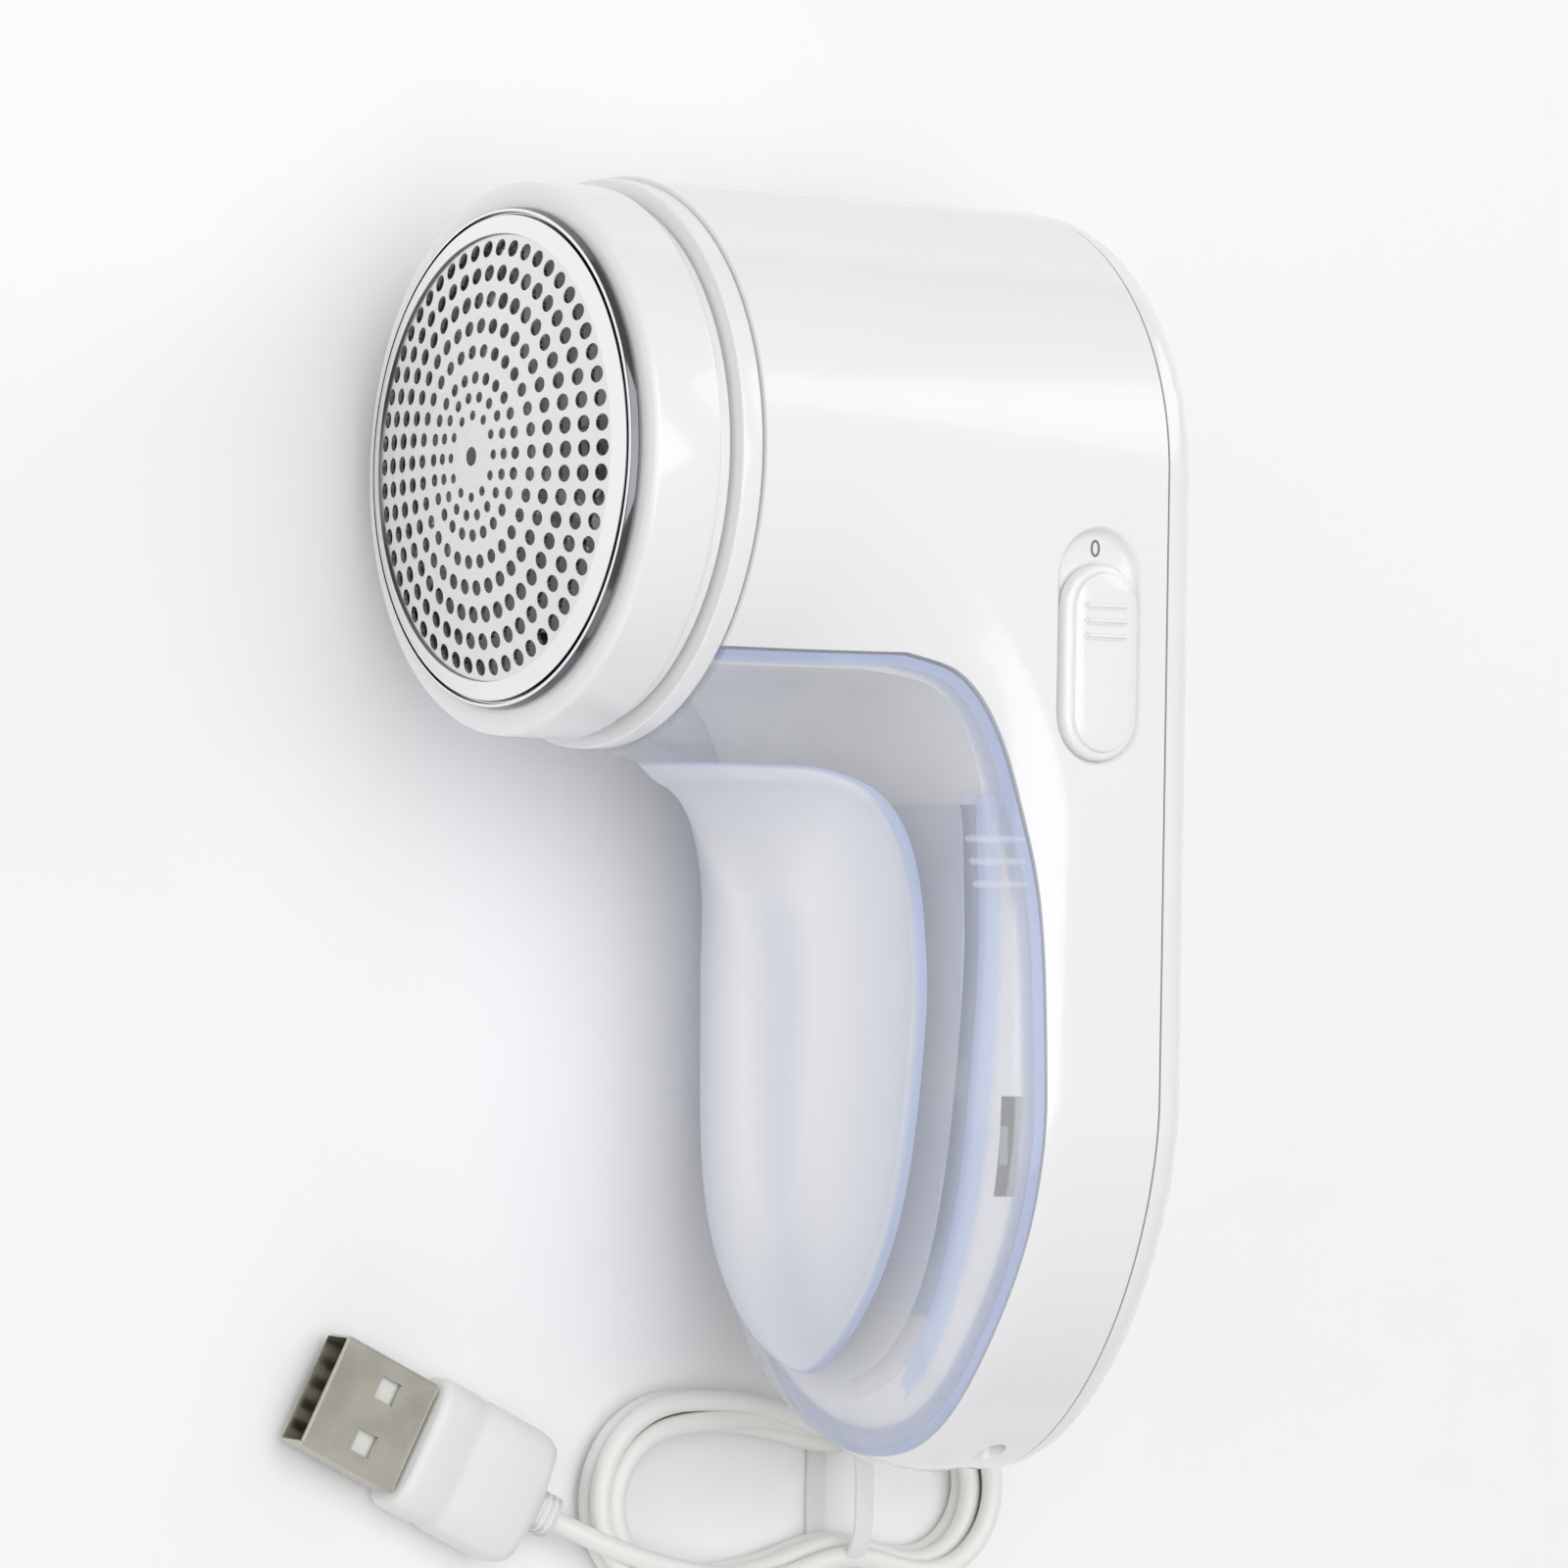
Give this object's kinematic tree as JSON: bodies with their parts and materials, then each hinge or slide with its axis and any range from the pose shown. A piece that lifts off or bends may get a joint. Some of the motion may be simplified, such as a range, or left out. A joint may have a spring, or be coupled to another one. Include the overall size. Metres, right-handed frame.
{
  "type": "fabric shaver",
  "caption": "Rechargeable fabric shaver with a domed perforated foil, a spinning cutter, a slide switch, a clear lint bin under the head and a loose charging lead.",
  "frame": {"origin": "under the middle of the shaver's own box, on the surface that it lies on (its far flank)", "axes": "+Y up the handle to the head, +X from the foil to the rear cover, +Z out of the switch flank, away from the surface it lies on"},
  "size_m": [0.0885, 0.1463, 0.0584],
  "materials": {
    "white_gloss": "smooth white gloss moulding",
    "white_inner": "plain inner plastic",
    "bin_clear": "clear, faintly blue plastic with a frosted grip pad",
    "chrome_bezel": "polished chrome",
    "foil_steel": "bright polished steel",
    "steel": "bright steel",
    "brass": "brass contact",
    "dark_plastic": "dark moulded plastic",
    "board_green": "green circuit board",
    "cell_wrap": "blue shrink wrap",
    "lens": "milky indicator lens",
    "cord_white": "soft white cord and plug moulding",
    "plug_steel": "plated plug shell",
    "wire_red": "red wire",
    "wire_black": "black wire"
  },
  "bodies": {
    "shaver_body": {"main_housing": "white_gloss", "rear_cover": "white_gloss", "cover_screw_1": "steel", "cover_screw_2": "steel", "cover_screw_3": "steel", "cover_screw_4": "steel", "cutter_chamber": "white_gloss", "motor_mount": "white_inner", "motor_can": "steel", "motor_end_cap": "dark_plastic", "motor_terminal_1": "brass", "motor_terminal_2": "brass", "motor_screw_1": "steel", "motor_screw_2": "steel", "bin_catch_1": "steel", "bin_catch_2": "steel", "battery_cell": "cell_wrap", "battery_tab_1": "steel", "battery_tab_2": "steel", "circuit_board": "board_green", "controller_chip": "dark_plastic", "switch_body": "dark_plastic", "charge_socket": "dark_plastic", "socket_pin": "brass", "indicator_lens": "lens", "wire_motor_red": "wire_red", "wire_motor_black": "wire_black", "wire_cell_red": "wire_red", "wire_cell_black": "wire_black"},
    "lock_ring": {"lock_ring": "white_gloss"},
    "guard_head": {"guard_collar": "white_gloss", "foil_bezel": "chrome_bezel", "cutting_foil": "foil_steel"},
    "drive_shaft": {"motor_shaft": "steel", "drive_coupling": "white_inner", "cutter_spring": "steel"},
    "cutter": {"cutter_carrier": "white_inner", "cutter_blade_1": "steel", "cutter_blade_2": "steel", "cutter_blade_3": "steel"},
    "switch_slider": {"switch_knob": "white_gloss", "switch_lever": "white_inner"},
    "lint_bin": {"lint_bin": "bin_clear"},
    "charging_lead": {"usb_shell": "plug_steel", "usb_tongue": "white_inner", "usb_grip": "cord_white", "lead_usb_end": "cord_white", "lead_hank": "cord_white", "hank_tie": "cord_white", "lead_tail": "cord_white", "dc_plug_grip": "cord_white", "dc_plug_barrel": "plug_steel"}
  },
  "joints": [
    {"name": "lock_ring_turn", "type": "hinge", "parent": "shaver_body", "child": "lock_ring", "pos_m": [-0.02037, 0.03596, 0.0285], "axis": [1, 0, 0], "range_deg": [0, 25]},
    {"name": "guard_pull_off", "type": "slide", "parent": "lock_ring", "child": "guard_head", "axis": [-1, 0, 0], "range_m": [0, 0.014]},
    {"name": "cutter_spin", "type": "hinge", "parent": "shaver_body", "child": "drive_shaft", "pos_m": [-0.02987, 0.03596, 0.0285], "axis": [1, 0, 0], "continuous": true},
    {"name": "cutter_float", "type": "slide", "parent": "drive_shaft", "child": "cutter", "axis": [1, 0, 0], "range_m": [0, 0.001], "stiffness_N_per_m": 300, "springref_m": -0.002, "deforming": ["cutter_spring"]},
    {"name": "switch_slide", "type": "slide", "parent": "shaver_body", "child": "switch_slider", "axis": [0, 1, 0], "range_m": [0, 0.0032]},
    {"name": "bin_swing", "type": "hinge", "parent": "shaver_body", "child": "lint_bin", "pos_m": [-0.01807, 0.00916, 0.0285], "axis": [0, 0, -1], "range_deg": [0, 20]},
    {"name": "lead_set_aside", "type": "slide", "parent": "shaver_body", "child": "charging_lead", "axis": [0, -1, 0], "range_m": [0, 0.05]}
  ]
}
